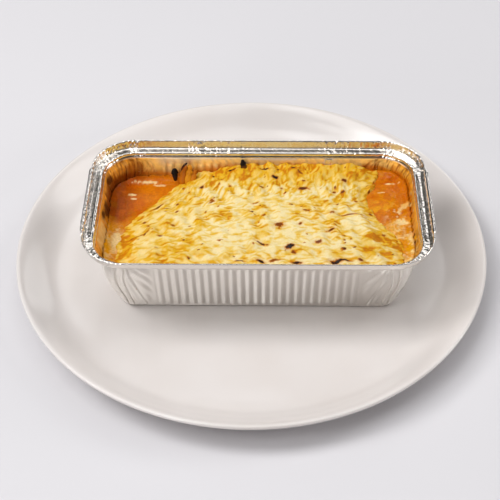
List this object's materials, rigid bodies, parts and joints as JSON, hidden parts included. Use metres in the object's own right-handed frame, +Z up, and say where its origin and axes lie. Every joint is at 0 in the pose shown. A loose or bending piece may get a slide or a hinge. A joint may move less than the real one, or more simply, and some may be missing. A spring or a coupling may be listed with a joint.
{
  "type": "plate of vegetable lasagna in a foil tray",
  "caption": "Baked lasagna under browned grated cheese, in a ribbed rectangular foil tray that stands on a wide shallow round plate.",
  "frame": {"origin": "on the table, under the centre of the plate", "axes": "+Z up, +X to the right along the tray's long side, +Y towards the back of the tray as the picture shows it"},
  "size_m": [0.2904, 0.2904, 0.0599],
  "materials": {
    "stoneware": "smooth warm white glaze",
    "foil": "bright crinkled rim, satin outside",
    "sauce": "dark orange tomato sauce, oily and glossy",
    "pasta": "sauce-coated pasta sheet, smooth and wet",
    "cheese": "melted grated cheese, cream with golden and scorched spots"
  },
  "bodies": {
    "root": {"plate": "stoneware", "foil_tray": "foil", "lasagna_filling": "sauce", "pasta_sheet": "pasta", "cheese_topping": "cheese"}
  },
  "joints": []
}
